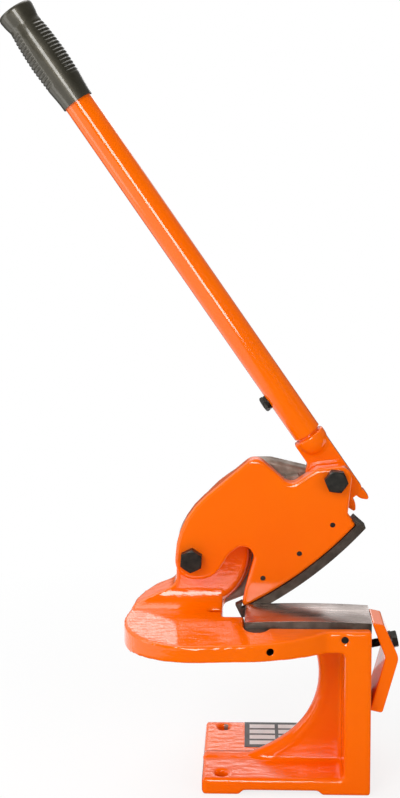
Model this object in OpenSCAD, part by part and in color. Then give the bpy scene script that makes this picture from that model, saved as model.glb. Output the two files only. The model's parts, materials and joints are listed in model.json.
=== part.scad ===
// Bench-mounted metal shear with a curved upper blade, driven by a long lever through a gear sector.
// Millimetres, +Z up. The origin lies midway between the two bench bolt holes, on the base's underside.
// +X runs from the throat to the free end of the blades, and the operator stands on the -Y side.

/* [Base] */
// Length of the base along the blades
base_length = 190; // [150:1:240]
// Depth of the base from front to back
base_depth = 140; // [120:1:200]
// Thickness of the base plate
base_thickness = 19; // [12:0.5:25]
// Distance from the bench bolts to the base's left end
base_overhang = 22; // [16:1:30]
// Height of the arch between the two foot pads
arch_height = 5; // [2:0.5:8]
// Length of the foot pad under the bench bolts
left_pad_length = 47; // [32:1:60]
// Length of the foot pad under the column
right_pad_length = 59; // [50:1:90]
// Distance between the bench bolt holes
bench_bolt_spacing = 110; // [80:1:114]
// Diameter of the bench bolt holes
bench_bolt_hole_d = 13.5; // [9:0.5:16]

/* [Column and web] */
// Thickness of the column at the right end
column_thickness = 30; // [22:1:40]
// Thickness of the web behind the column's front face
web_thickness = 19; // [12:1:26]
// Position of the web's middle plane from front to back
web_y = -14.5; // [-20:0.5:-10]
// Radius of the web's round cut-out
web_radius = 92; // [80:1:100]
// Position of the cut-out's centre along the base
web_centre_x = 20; // [10:1:30]
// Height of the cut-out's centre
web_centre_z = 120; // [112:1:128]
// Radius of the flatter curve that carries the cut-out down to the base
web_foot_radius = 165; // [130:1:200]
// Diameter of the bead along the cut-out
web_bead_d = 20; // [16:1:30]
// Height of the ridge that carries the web on to the left end of the base
ridge_height = 3; // [2:0.5:8]

/* [Table] */
// Height of the table top above the bench
table_height = 190; // [180:1:210]
// Thickness of the table
table_thickness = 26; // [20:1:30]
// Thickness of the table's front rim
rim_thickness = 18.5; // [12:0.5:20]
// Radius of the table's round left end
lobe_radius = 82; // [75:1:90]
// Position of the left end's centre along the base
lobe_x = -30; // [-36:1:-24]
// Position of the left end's centre from front to back
lobe_y = -31; // [-36:1:-26]
// Radius of the table's round back corner, beside the neck
shoulder_radius = 62; // [58:1:66]
// Setback of the back corner's centre behind the left end's centre
shoulder_setback = 29; // [24:1:34]
// Radius of the table's front edge
front_radius = 169; // [160:1:180]
// Position of the front edge's centre along the base
front_x = 10; // [0:1:20]
// Position of the front edge's centre from front to back
front_y = 60; // [56:1:64]
// Position of the throat's left wall
throat_x = 0; // [-4:0.5:4]
// Position of the table's back edge at the throat
throat_y = -23; // [-28:1:-16]

/* [Head] */
// Position of the main pivot along the base
pivot_x = -36; // [-40:0.5:-32]
// Height of the main pivot above the table top
pivot_rise = 62; // [58:0.5:66]
// Position of the shear plane from front to back
shear_y = -9; // [-12:0.5:-6]
// Thickness of the blade arm
arm_thickness = 20; // [18:0.5:26]
// Thickness of the lever gear and of the gear sector
gear_thickness = 13.4; // [10:0.2:18]
// Thickness of the frame's cheek behind the gears
cheek_thickness = 24; // [18:1:32]
// Radius of the pivot boss on the frame
boss_radius = 68; // [62:1:74]
// Radius of the rounding along the boss's front edge
boss_rounding = 8; // [2:0.5:10]
// Radius of the fillet between the table and the neck
neck_fillet = 22; // [6:0.5:26]
// Radius of the arm's lobe round the lever pivot
arm_lobe_radius = 18.5; // [17:0.5:22]

/* [Gearing] */
// Module of the gear teeth
gear_module = 6; // [5.8:0.1:6.2]
// Number of teeth on a full turn of the lever gear
lever_teeth = 14; // [14:1:14]
// Number of teeth on a full turn of the gear sector
sector_teeth = 50; // [50:1:50]
// Pressure angle of the teeth
pressure_angle = 25; // [20:0.5:28]
// Play between the tooth flanks
backlash = 0.5; // [0.3:0.05:1]
// Direction from the main pivot to the lever pivot at rest
mesh_angle = 29.5; // [28:0.5:31]

/* [Blades] */
// Radius of the upper blade's cutting edge
edge_radius = 470; // [450:1:490]
// Width of the upper blade behind the arm
upper_blade_width = 40; // [38:1:50]
// Width of the cutting strip that shows below the arm
cutting_strip = 10.3; // [8:0.1:12]
// Width of the upper blade at its two ends
blade_end_width = 17.5; // [14:0.5:22]
// Thickness of the arm's lip in front of the upper blade
arm_lip = 8; // [6:0.5:10]
// Length of the lower blade
lower_blade_length = 143; // [130:1:146]
// Position of the lower blade's left end
lower_blade_x = 26; // [24:0.5:30]
// Width of the lower blade from front to back
lower_blade_width = 46.7; // [40:0.1:52]
// Height of the lower blade's block
lower_blade_height = 27; // [24:0.5:30]
// Height of the lower blade's ends above the table
lower_blade_rise = 9; // [6:0.5:12]
// Rise of the lower blade's crown above its ends
blade_crown = 2; // [1:0.5:5]
// Slope of the lower blade's top towards the front
blade_slope = 4.5; // [0:0.5:6]
// Radius of the heel at the lower blade's front corner
heel_radius = 12.5; // [8:0.5:14]

/* [Handle] */
// Direction of the handle at rest, above the +X axis
handle_angle = 124.6; // [115:0.1:135]
// Offset of the handle's middle line to the right of the lever pivot
handle_offset = 1.5; // [0:0.5:3]
// Width of the lever where it leaves the gear
lever_width = 37; // [34:0.5:40]
// Distance from the lever pivot to the tube's lower end
tube_start = 60; // [54:1:66]
// Length of the handle tube
tube_length = 586; // [400:1:700]
// Outer diameter of the handle tube
tube_d = 33.7; // [30:0.1:34]
// Wall thickness of the handle tube
tube_wall = 3.2; // [2:0.1:5]
// Length of the lever's stub inside the tube
stub_length = 80; // [70:1:120]
// Length of the grip
grip_length = 126; // [90:1:150]
// Thickness of the grip's sleeve at its narrow ends
grip_sleeve = 2; // [1.5:0.1:5]
// Swelling of the grip at its middle
grip_swell = 3.5; // [0.5:0.1:5]
// Rise of the flange at the grip's closed end
grip_flange = 2.9; // [1:0.1:4]
// Thickness of the grip's closed end
grip_cap = 6; // [3:0.5:10]

/* [Blade clamp] */
// Thickness of the bent clamp plate
clamp_thickness = 14; // [8:0.5:16]
// Width of the clamp plate from front to back
clamp_width = 46; // [30:1:50]
// Height of the clamp from heel to top
clamp_height = 105; // [94:1:110]
// Height of the clamp's bend above its heel
clamp_bend_rise = 64; // [50:1:72]
// Distance of the clamp's bend from the column
clamp_reach = 31; // [26:0.5:36]
// Tilt of the clamp bolt above the level
clamp_bolt_tilt = 12; // [6:1:20]

/* [Fasteners] */
// Diameter of the two pivot bolts
pivot_bolt_d = 16; // [14:0.5:18]
// Hexagon of the pivot bolts across flats
pivot_bolt_af = 24; // [22:0.5:27]
// Outer diameter of the pivot bushes
bush_d = 22; // [20.5:0.5:25]
// Diameter of the handle's set bolt
set_bolt_d = 10; // [8:0.5:12]
// Hexagon of the set bolt and its lock nut across flats
set_bolt_af = 16; // [13:0.5:19]
// Distance from the lever pivot to the set bolt
set_bolt_distance = 115; // [100:1:125]
// Diameter of the upper blade screws
upper_screw_d = 6; // [5:0.5:6.5]
// Diameter of the lower blade screws
lower_screw_d = 8; // [6:0.5:8.5]
// Diameter of the sector screws
sector_screw_d = 8; // [6:0.5:10]
// Diameter of the clamp bolt
clamp_bolt_d = 10; // [8:0.5:12]
// Hexagon of the clamp bolt across flats
clamp_bolt_af = 17; // [15:0.5:19]

/* [Clearances] */
// Gap between the two blades at the shear plane
blade_gap = 0.3; // [0.2:0.05:0.5]
// Setback of the arm behind the cutting strip
arm_setback = 0.5; // [0.2:0.1:1]
// Gap at each side of the gears
side_gap = 0.6; // [0.3:0.1:1]
// Gap between faces that turn on each other
running_gap = 0.3; // [0.2:0.05:0.5]
// Radial clearance of a bolt in its bush
pin_fit = 0.05; // [0.03:0.01:0.08]
// Clearance round a seated piece
seat_fit = 0.1; // [0.05:0.01:0.2]
// Room left round the path of a moving piece
sweep_room = 3; // [2:0.5:4]

/* [Hidden] */
$fn = 96;

// Layers from front to back
arm_front = shear_y + arm_setback;
arm_back = arm_front + arm_thickness;
lip_back = arm_front + arm_lip;
boss_front = arm_back + running_gap;
gear_front = arm_back + side_gap;
gear_back = gear_front + gear_thickness;
gear_middle = (gear_front + gear_back) / 2;
cheek_front = gear_back + side_gap;
cheek_back = cheek_front + cheek_thickness;

// Frame
base_left = -base_overhang;
base_right = base_left + base_length;
base_front = -base_depth / 2;
base_back = base_depth / 2;
column_left = base_right - column_thickness;
table_bottom = table_height - table_thickness;
lower_blade_back = shear_y - blade_gap;
lower_blade_front = lower_blade_back - lower_blade_width;
lower_blade_end = lower_blade_x + lower_blade_length;
lower_blade_top = table_height + lower_blade_rise;
lower_blade_bottom = lower_blade_top - lower_blade_height;
table_back = lower_blade_back - sweep_room;
lobe = [lobe_x, lobe_y];
front_centre = [front_x, front_y];
shoulder_inset = 5;
web_foot_start = -52;
shoulder = [lobe_x - lobe_radius + shoulder_radius + shoulder_inset, lobe_y + shoulder_setback];

// Pivots in the XZ plane
pivot = [pivot_x, table_height + pivot_rise];
sector_pitch_r = gear_module * sector_teeth / 2;
lever_pitch_r = gear_module * lever_teeth / 2;
gear_distance = sector_pitch_r + lever_pitch_r;
lever_pivot = pivot + gear_distance * [cos(mesh_angle), sin(mesh_angle)];
addendum = gear_module;
dedendum = 1.25 * gear_module;
sector_root_r = sector_pitch_r - dedendum;
sector_rim = 34;
sector_inner_r = sector_root_r - sector_rim;
sector_screw_r = sector_root_r - sector_rim / 2;
screw_cover = 4;
sector_step = 360 / sector_teeth;
lever_step = 360 / lever_teeth;
sector_start = mesh_angle - 4.6 * sector_step;
sector_end = mesh_angle + 1.6 * sector_step;
sector_screw_angles = [for (i = [0:2]) sector_start + (0.5 + i) * (sector_end - sector_start) / 3];

// Upper blade: the cutting edge is an arc about a centre that is fixed to the main pivot
edge_centre_direction = [-0.3148, 0.7493];
edge_centre = pivot + edge_radius * edge_centre_direction;
edge_start = -63.9;
edge_end = -41.9;
edge_degree = edge_radius * PI / 180;
body_inset_left = 37;
body_inset_right = 15;
body_start = edge_start + body_inset_left / edge_degree;
body_end = edge_end - body_inset_right / edge_degree;
blade_end = 9 / edge_degree;
upper_screw_inset = 30;
upper_screw_step = 6.7;
upper_screw_middle = (edge_start + edge_end) / 2 + 1.3;
upper_screw_recess = 1.5;
upper_screw_r = edge_radius - upper_screw_inset;
upper_screw_angles = [for (i = [-1:1]) upper_screw_middle + upper_screw_step * i];

// Lower blade screws
lower_screw_z = table_height - lower_blade_rise;
lower_screw_insets = [28, 31];
lower_screw_xs = [lower_blade_x + lower_screw_insets[0], lower_blade_end - lower_screw_insets[1]];
lower_screw_recess = 2;
lower_screw_end = base_front + lower_screw_recess;
head_recess = 0.3;
heel_x = lower_blade_x + heel_radius + 1;

// Fasteners
pivot_bolt_r = pivot_bolt_d / 2;
pivot_head_h = 0.625 * pivot_bolt_d;
pivot_nut_h = 0.8 * pivot_bolt_d;
pivot_washer_h = 3;
pivot_washer_r = 15;
bolt_end = 4;
head_root = 1;
main_head_turn = 34;
main_nut_turn = 10;
lever_head_turn = 7;
lever_nut_turn = 20;
lock_nut_turn = 12;
tube_end = tube_start + tube_length;
tube_bore_r = tube_d / 2 - tube_wall;
set_head_h = 0.45 * set_bolt_d;
lock_nut_h = 0.3 * set_bolt_d;

// Clamp: two legs of one plate, meeting in a bend
clamp_setback = 0.7;
clamp_drop = 3;
clamp_chamfer = 3;
clamp_bolt_rise = 12.5;
clamp_back = lower_blade_back - clamp_setback;
clamp_front = clamp_back - clamp_width;
clamp_side = max(base_right, lower_blade_end);
clamp_foot = [base_right + seat_fit, lower_blade_top - clamp_drop - clamp_height];
clamp_bend = [clamp_side + clamp_reach, clamp_foot.y + clamp_bend_rise];
clamp_top = [clamp_side + seat_fit, clamp_foot.y + clamp_height];
clamp_rim = clamp_top + [clamp_thickness, -clamp_chamfer];
clamp_lean = atan2(clamp_bend.x - clamp_rim.x, clamp_rim.y - clamp_bend.y);
clamp_washer_h = 2;
clamp_washer_r = clamp_bolt_d;
clamp_spot_depth = clamp_washer_r * tan(abs(clamp_lean - clamp_bolt_tilt));
clamp_bolt_y = (clamp_front + clamp_back) / 2;
clamp_bolt_seat = [
    clamp_bend.x - clamp_bolt_rise * tan(clamp_lean) - clamp_spot_depth,
    clamp_bend.y + clamp_bolt_rise
];
clamp_bolt_depth = 2 * clamp_bolt_d;
clamp_bolt_reach = (clamp_bolt_seat.x - base_right) / cos(clamp_bolt_tilt) + clamp_bolt_depth;

// Directions and outlines

function unit(v) = v / norm(v);

function point(p) = [p[0], p[1]];

function polar(centre, r, a) = centre + r * [cos(a), sin(a)];

// A vertex of an outline: an offset from a centre, with the radius of its corner
function vertex(centre, dx, dz, r = 0) = [centre.x + dx, centre.y + dz, r];

function turn(a) = a > 180 ? a - 360 : a < -180 ? a + 360 : a;

// The arc that rounds the corner b between its neighbours a and c
function corner(a, b, c, r) =
    let (u = unit(a - b), v = unit(c - b), half = acos(u * v) / 2)
    let (middle = b + unit(u + v) * r / sin(half))
    let (first = b + u * r / tan(half) - middle, last = b + v * r / tan(half) - middle)
    let (from = atan2(first.y, first.x), sweep = turn(atan2(last.y, last.x) - from))
    let (steps = max(2, ceil(abs(sweep) / 10)))
    [for (i = [0:steps]) polar(middle, r, from + sweep * i / steps)];

function rounded(v) =
    let (n = len(v))
    [for (i = [0:n - 1])
        each v[i][2] == 0 ? [point(v[i])]
            : corner(point(v[(i + n - 1) % n]), point(v[i]), point(v[(i + 1) % n]), v[i][2])];

function arc(centre, r, from, to, steps) =
    [for (i = [0:steps]) polar(centre, r, from + (to - from) * i / steps)];

// Involute gear teeth

function involute(a) = tan(a) * 180 / PI - a;

// Half the angle that a tooth takes up at radius r
function half_tooth(r, teeth) =
    let (pitch_r = gear_module * teeth / 2, base_r = pitch_r * cos(pressure_angle))
    let (play = backlash / 4 / pitch_r * 180 / PI)
    90 / teeth - play + involute(pressure_angle) - involute(acos(min(1, base_r / max(r, base_r))));

function tooth(teeth, root_r) =
    let (pitch_r = gear_module * teeth / 2, tip_r = pitch_r + addendum, steps = 7)
    let (radii = [for (i = [0:steps]) root_r - 1 + (tip_r - root_r + 1) * i / steps])
    concat(
        [for (r = radii) polar([0, 0], r, -half_tooth(r, teeth))],
        [for (i = [steps:-1:0]) polar([0, 0], radii[i], half_tooth(radii[i], teeth))]
    );

// Solids along the axes

// Extrudes an outline in the XZ plane from y0 to y1
module along_y(y0, y1) {
    translate([0, y1, 0])
        rotate([90, 0, 0])
            linear_extrude(y1 - y0)
                children();
}

// Extrudes an outline in the YZ plane from x0 to x1
module along_x(x0, x1) {
    translate([x0, 0, 0])
        rotate([90, 0, 90])
            linear_extrude(x1 - x0)
                children();
}

module block(low, high) {
    translate(low)
        cube(high - low);
}

module rod_y(centre, r, y0, y1) {
    translate([centre.x, y0, centre.y])
        rotate([-90, 0, 0])
            cylinder(r = r, h = y1 - y0);
}

module hexagon(af, h) {
    cylinder(r = af / 2 / cos(30), h = h, $fn = 6);
}

module hexagon_y(centre, af, y0, y1, spin) {
    translate([centre.x, y0, centre.y])
        rotate([-90, 0, 0])
            rotate(spin)
                hexagon(af, y1 - y0);
}

module ring_y(centre, r, bore_r, y0, y1) {
    difference() {
        rod_y(centre, r, y0, y1);
        rod_y(centre, bore_r, y0 - 1, y1 + 1);
    }
}

// Countersunk screw along +Z with its head at the origin, grown by fit for the hole that takes it
module countersunk(d, length, fit = 0) {
    head_r = d + fit;
    shank_r = d / 2 + fit;
    translate([0, 0, -fit])
        cylinder(r1 = head_r, r2 = shank_r, h = head_r - shank_r);
    cylinder(r = shank_r, h = length + fit);
}

// Local frame of the handle: +Z along the tube, +X to its right side
module on_handle() {
    translate([lever_pivot.x, gear_middle, lever_pivot.y])
        rotate([0, 90 - handle_angle, 0])
            translate([handle_offset, 0, 0])
                children();
}

// Local frame of the clamp bolt: +Z from the column out through the clamp's upper leg
module on_clamp_bolt() {
    translate([clamp_bolt_seat.x, clamp_bolt_y, clamp_bolt_seat.y])
        rotate([0, 90 - clamp_bolt_tilt, 0])
            children();
}

// Frame

module base_plate() {
    right_pad = base_right - right_pad_length;
    left_pad = base_left + left_pad_length;
    along_y(base_front, base_back)
        polygon([
            [base_left, 0],
            [left_pad - arch_height, 0],
            [left_pad, arch_height],
            [right_pad, arch_height],
            [right_pad + arch_height, 0],
            [base_right, 0],
            [base_right, base_thickness],
            [base_left, base_thickness]
        ]);
}

// The ridge is the top of a round bar that lies in the base
module base_ridge() {
    ridge_r = web_thickness * 0.75;
    intersection() {
        translate([base_left, web_y, base_thickness + ridge_height - ridge_r])
            rotate([0, 90, 0])
                cylinder(r = ridge_r, h = web_centre_x - base_left + web_radius / 2);
        block([base_left, base_front, base_thickness / 2], [base_right, base_back, table_bottom]);
    }
}

module column() {
    along_x(column_left, base_right)
        polygon([
            [base_front, base_thickness / 2],
            [base_back, base_thickness / 2],
            [base_back, base_thickness],
            [table_back, table_bottom],
            [table_back, table_height],
            [base_front, table_height]
        ]);
}

// A sector of a circle with room to spare beyond its radius
module sector(centre, r, from, to) {
    polygon(concat([centre], arc(centre, 2 * r, from, to, 4)));
}

// A round bead along the part of a circle that lies between two directions
module web_bead(centre, r, from, to) {
    bead_r = web_bead_d / 2;
    intersection() {
        translate([centre.x, web_y, centre.y])
            rotate([-90, 0, 0])
                rotate_extrude($fn = 180)
                    translate([r + bead_r, 0])
                        circle(bead_r, $fn = 48);
        along_y(web_y - web_bead_d, web_y + web_bead_d)
            sector(centre, r, from, to);
        block(
            [web_centre_x, base_front, base_thickness / 2],
            [column_left + 1, base_back, table_bottom + 1]
        );
    }
}

// The round cut-out runs on towards the base in a flatter curve that touches it
module web() {
    bead_r = web_bead_d / 2;
    centre = [web_centre_x, web_centre_z];
    foot = polar(centre, web_radius - web_foot_radius, web_foot_start);
    along_y(web_y - web_thickness / 2, web_y + web_thickness / 2)
        difference() {
            translate([web_centre_x, base_thickness / 2])
                square([column_left - web_centre_x + 1, table_bottom + 1 - base_thickness / 2]);
            translate(centre)
                circle(web_radius + bead_r);
            intersection() {
                translate(foot)
                    circle(web_foot_radius + bead_r, $fn = 180);
                sector(foot, web_foot_radius, web_foot_start - 90, web_foot_start);
            }
        }
    web_bead(centre, web_radius, web_foot_start, 90);
    web_bead(foot, web_foot_radius, web_foot_start - 90, web_foot_start);
}

// Direction from the centres of two circles to the points where one line touches both on their right
function tangent_angle(from, to, from_r, to_r) =
    atan2(to.y - from.y, to.x - from.x) - acos((from_r - to_r) / norm(to - from));

// Two circles with the strip between the line that touches both and the line through their centres
module joined_circles(from, to, from_r, to_r) {
    a = tangent_angle(from, to, from_r, to_r);
    translate(from)
        circle(from_r, $fn = 180);
    translate(to)
        circle(to_r, $fn = 180);
    polygon([from, polar(from, from_r, a), polar(to, to_r, a), to]);
}

// Round left end of the table, with its back corner
module lobe_plan() {
    joined_circles(shoulder, lobe, shoulder_radius, lobe_radius);
}

module table_plan() {
    front_start = polar(lobe, lobe_radius, tangent_angle(lobe, front_centre, lobe_radius, front_radius));
    difference() {
        union() {
            lobe_plan();
            intersection() {
                joined_circles(lobe, front_centre, lobe_radius, front_radius);
                translate([front_start.x, lobe_y - 2 * lobe_radius])
                    square([base_right - front_start.x, 2 * lobe_radius]);
            }
            translate([column_left - column_thickness, base_front])
                square([2 * column_thickness, table_back - base_front]);
        }
        translate([throat_x, throat_y])
            square([base_right, 2 * base_depth]);
    }
    translate([lower_blade_x - 2, throat_y - 1])
        square([base_right - lower_blade_x + 2, table_back - throat_y + 1]);
}

module table() {
    front = lobe_y - lobe_radius - 1;
    back = shoulder.y + shoulder_radius + 1;
    slope_start = lobe_y - table_thickness;
    intersection() {
        translate([0, 0, table_bottom])
            linear_extrude(table_thickness)
                table_plan();
        along_x(lobe_x - lobe_radius - 1, base_right)
            polygon([
                [front, table_height],
                [back, table_height],
                [back, table_bottom],
                [slope_start, table_bottom],
                [front, table_height - rim_thickness]
            ]);
    }
}

cheek_left = pivot.x - arm_lobe_radius - arm_setback;
cheek_foot = table_height - shoulder_inset;
neck_left = shoulder.x - shoulder_radius + sweep_room;
neck_foot = table_height + 4;
neck_shoulder = table_height + 23;

cheek_outline = rounded([
    [throat_x, cheek_foot, 0],
    [each polar(pivot, sector_pitch_r + 9, -6.5), 6],
    [each polar(pivot, sector_pitch_r + 10, 8), 40],
    [each polar(pivot, sector_pitch_r + 10, 24), 20],
    [each polar(pivot, sector_pitch_r + 18, 36), 4],
    vertex(pivot, 92, 109, 6),
    vertex(pivot, 74, 109, 12),
    vertex(pivot, 30, 80, 120),
    vertex([cheek_left, pivot.y], 0, 24, 60),
    [cheek_left, cheek_foot, 0]
]);

// The boss is a disc with a rounded front edge, cut to the outline of the cheek
module boss() {
    depth = cheek_back - boss_front;
    middle = [boss_radius - boss_rounding, boss_rounding];
    intersection() {
        translate([pivot.x, boss_front, pivot.y])
            rotate([-90, 0, 0])
                rotate_extrude($fn = 180)
                    polygon(concat(
                        [[0, 0]],
                        arc(middle, boss_rounding, -90, 0, 8),
                        [[boss_radius, depth], [0, depth]]
                    ));
        along_y(boss_front, cheek_back)
            polygon(cheek_outline);
    }
}

// The neck joins the table to the boss and the cheek, and flares out towards the table's left end
module neck() {
    fillet_start = boss_front - neck_fillet;
    fillet_end = table_height + neck_fillet;
    intersection() {
        along_y(fillet_start, cheek_back)
            polygon(rounded([
                [neck_left, table_bottom, 0],
                [neck_left, neck_foot, 3],
                [cheek_left, neck_shoulder, 14],
                [cheek_left, pivot.y, 0],
                [throat_x, pivot.y, 0],
                [throat_x, table_bottom, 0]
            ]));
        along_x(neck_left, throat_x)
            difference() {
                translate([fillet_start, table_bottom])
                    square([cheek_back - fillet_start, pivot.y - table_bottom]);
                translate([fillet_start, fillet_end])
                    circle(neck_fillet);
                translate([fillet_start - 1, fillet_end])
                    square([neck_fillet + 1, pivot.y]);
            }
        translate([0, 0, table_bottom])
            linear_extrude(pivot.y - table_bottom)
                lobe_plan();
    }
}

module cheek() {
    along_y(cheek_front, cheek_back)
        polygon(cheek_outline);
}

// The path of the upper blade's left end: a pocket under the table top, open to the throat
module blade_end_slot() {
    slot_length = 18;
    side_room = 0.8;
    end_r = norm(polar(edge_centre, edge_radius - blade_end_width, edge_start) - pivot);
    slot_top = pivot.y - sqrt(pow(end_r, 2) - pow(throat_x - pivot.x, 2)) + side_room;
    block(
        [throat_x - slot_length, lower_blade_back - side_room, table_bottom - 1],
        [throat_x + 1, lip_back + side_room, slot_top]
    );
}

// The seat of the lower blade, with the scallop for its heel
module lower_blade_seat() {
    block(
        [lower_blade_x - seat_fit, lower_blade_front - seat_fit, lower_blade_bottom],
        [base_right + 1, base_back, table_height + 1]
    );
    translate([heel_x, lower_blade_front, lower_blade_bottom])
        cylinder(r = heel_radius + seat_fit, h = lower_blade_height);
}

module bench_bolt_holes() {
    for (side = [-1, 1])
        translate([0, side * bench_bolt_spacing / 2, -1])
            cylinder(d = bench_bolt_hole_d, h = base_thickness + ridge_height + 2);
}

module frame_casting() {
    color("darkorange")
        difference() {
            union() {
                base_plate();
                base_ridge();
                column();
                web();
                table();
                boss();
                neck();
                cheek();
            }
            bench_bolt_holes();
            blade_end_slot();
            lower_blade_seat();
            rod_y(pivot, pivot_bolt_r + seat_fit, 0, cheek_back + 1);
            for (x = lower_screw_xs)
                rod_y([x, lower_screw_z], lower_screw_d / 2 + seat_fit, -base_depth, lower_blade_back);
            sector_screw_set(seat_fit);
            on_clamp_bolt()
                translate([0, 0, -clamp_bolt_reach - seat_fit])
                    cylinder(r = clamp_bolt_d / 2 + seat_fit, h = clamp_bolt_reach);
        }
}

// Gear sector

module sector_screw_set(fit = 0) {
    for (a = sector_screw_angles) {
        centre = polar(pivot, sector_screw_r, a);
        translate([centre.x, gear_front, centre.y])
            rotate([-90, 0, 0])
                countersunk(sector_screw_d, gear_thickness + cheek_thickness - screw_cover, fit);
    }
}

module gear_sector() {
    color("dimgray")
        difference() {
            along_y(gear_front, cheek_front) {
                polygon(concat(
                    arc(pivot, sector_root_r, sector_start, sector_end, 30),
                    arc(pivot, sector_inner_r, sector_end, sector_start, 20)
                ));
                for (i = [-4:1])
                    translate(pivot)
                        rotate(mesh_angle + i * sector_step)
                            polygon(tooth(sector_teeth, sector_root_r));
            }
            sector_screw_set(seat_fit);
        }
}

module sector_screws() {
    color("black")
        sector_screw_set();
}

// Lower blade

// The block's crowned top is part of a wide cylinder that dips towards the front
module lower_blade_block() {
    crown_r = (pow(lower_blade_length / 2, 2) + pow(blade_crown, 2)) / (2 * blade_crown);
    middle_x = lower_blade_x + lower_blade_length / 2;
    high = lower_blade_top + 2 * blade_crown;
    end_round = 9;
    intersection() {
        along_y(lower_blade_front, lower_blade_back)
            polygon(rounded([
                [lower_blade_x, lower_blade_bottom, 0],
                [lower_blade_x, lower_blade_top + end_round / 4, end_round],
                [middle_x, high, 0],
                [lower_blade_end, high, 0],
                [lower_blade_end, lower_blade_bottom, 0]
            ]));
        translate([middle_x, lower_blade_back, lower_blade_top + blade_crown - crown_r / cos(blade_slope)])
            rotate([90 + blade_slope, 0, 0])
                translate([0, 0, -lower_blade_width - crown_r * tan(blade_slope)])
                    cylinder(r = crown_r, h = 3 * lower_blade_width, $fn = 360);
    }
}

module lower_blade_screw_set(fit = 0) {
    for (x = lower_screw_xs)
        translate([x, lower_blade_back - head_recess, lower_screw_z])
            rotate([90, 0, 0])
                countersunk(lower_screw_d, lower_blade_back - head_recess - lower_screw_end, fit);
}

module lower_blade() {
    color("slategray")
        difference() {
            union() {
                lower_blade_block();
                translate([heel_x, lower_blade_front, lower_blade_bottom])
                    cylinder(r = heel_radius, h = lower_blade_height - lower_blade_rise - 1);
            }
            lower_blade_screw_set(seat_fit);
        }
}

module lower_blade_screws() {
    color("black")
        lower_blade_screw_set();
}

// Blade clamp

module blade_clamp() {
    color("darkorange")
        difference() {
            along_y(clamp_front, clamp_back)
                polygon(rounded([
                    [clamp_foot.x, clamp_foot.y + clamp_chamfer, 0],
                    [clamp_foot.x + clamp_thickness, clamp_foot.y, clamp_chamfer],
                    [clamp_bend.x, clamp_bend.y, clamp_thickness],
                    [clamp_rim.x, clamp_rim.y, clamp_chamfer],
                    [clamp_top.x, clamp_top.y, 0],
                    [clamp_bend.x - clamp_thickness / cos(clamp_lean), clamp_bend.y, clamp_thickness / 2]
                ]));
            on_clamp_bolt() {
                translate([0, 0, -3 * clamp_thickness])
                    cylinder(r = clamp_bolt_d / 2 + 4 * seat_fit, h = 6 * clamp_thickness);
                cylinder(r = clamp_washer_r + 4 * seat_fit, h = 2 * clamp_thickness);
            }
        }
}

module clamp_bolt() {
    head_h = 0.64 * clamp_bolt_d;
    color("black")
        on_clamp_bolt() {
            translate([0, 0, clamp_washer_h])
                hexagon(clamp_bolt_af, head_h);
            translate([0, 0, -clamp_bolt_reach])
                cylinder(d = clamp_bolt_d, h = clamp_bolt_reach + clamp_washer_h + head_root);
        }
}

module clamp_washer() {
    color("gray")
        on_clamp_bolt()
            difference() {
                cylinder(r = clamp_washer_r, h = clamp_washer_h);
                translate([0, 0, -1])
                    cylinder(r = clamp_bolt_d / 2 + seat_fit, h = clamp_washer_h + 2);
            }
}

// Main pivot

main_head_back = arm_front - running_gap;
main_nut_front = cheek_back + pivot_washer_h;

module main_pivot_bolt() {
    color("black") {
        hexagon_y(pivot, pivot_bolt_af, main_head_back - pivot_head_h, main_head_back, main_head_turn);
        rod_y(pivot, pivot_bolt_r, main_head_back - head_root, main_nut_front + pivot_nut_h + bolt_end);
    }
}

module main_pivot_washer() {
    color("gray")
        ring_y(pivot, pivot_washer_r, pivot_bolt_r + seat_fit, cheek_back, main_nut_front);
}

module main_pivot_nut() {
    color("black")
        difference() {
            hexagon_y(pivot, pivot_bolt_af, main_nut_front, main_nut_front + pivot_nut_h, main_nut_turn);
            rod_y(pivot, pivot_bolt_r + seat_fit, main_nut_front - 1, main_nut_front + pivot_nut_h + 1);
        }
}

module main_pivot_bush() {
    color("goldenrod")
        ring_y(pivot, bush_d / 2, pivot_bolt_r + pin_fit, arm_front, arm_back);
}

// Blade arm

// The lower edge follows the cutting edge, and the back runs in one sweep from pivot lobe to nose
arm_edge_r = edge_radius - cutting_strip;
pocket_r = edge_radius - upper_blade_width - seat_fit;
arm_outline = rounded(concat(
    [
        vertex(pivot, -19.5, -25.5, 22),
        vertex(pivot, -18.5, 44.5, 97),
        vertex(pivot, 74.3, 123.1, 15),
        vertex(lever_pivot, -52.5, -7.7, 12),
        vertex(lever_pivot, -1.2 * arm_lobe_radius, 0.68 * arm_lobe_radius, 16),
        vertex(lever_pivot, 1.1 * arm_lobe_radius, 0.9 * arm_lobe_radius, 0.75 * arm_lobe_radius),
        vertex(lever_pivot, 14.2, -40.5, 5)
    ],
    [for (p = arc(edge_centre, arm_edge_r, edge_end - 0.6, edge_start + 0.5, 24)) [p.x, p.y, 0]],
    [
        vertex(pivot, 62.5, -35, 40),
        vertex(pivot, 82.2, 35.6, 12.7),
        vertex(pivot, 43.5, 5.3, 15),
        vertex(pivot, 25.1, -24.7, 26)
    ]
));

// A band beside the cutting edge, from one angle to another
module edge_band(width, from, to) {
    polygon(concat(
        arc(edge_centre, edge_radius, from, to, 24),
        arc(edge_centre, edge_radius - width, to, from, 24)
    ));
}

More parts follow.
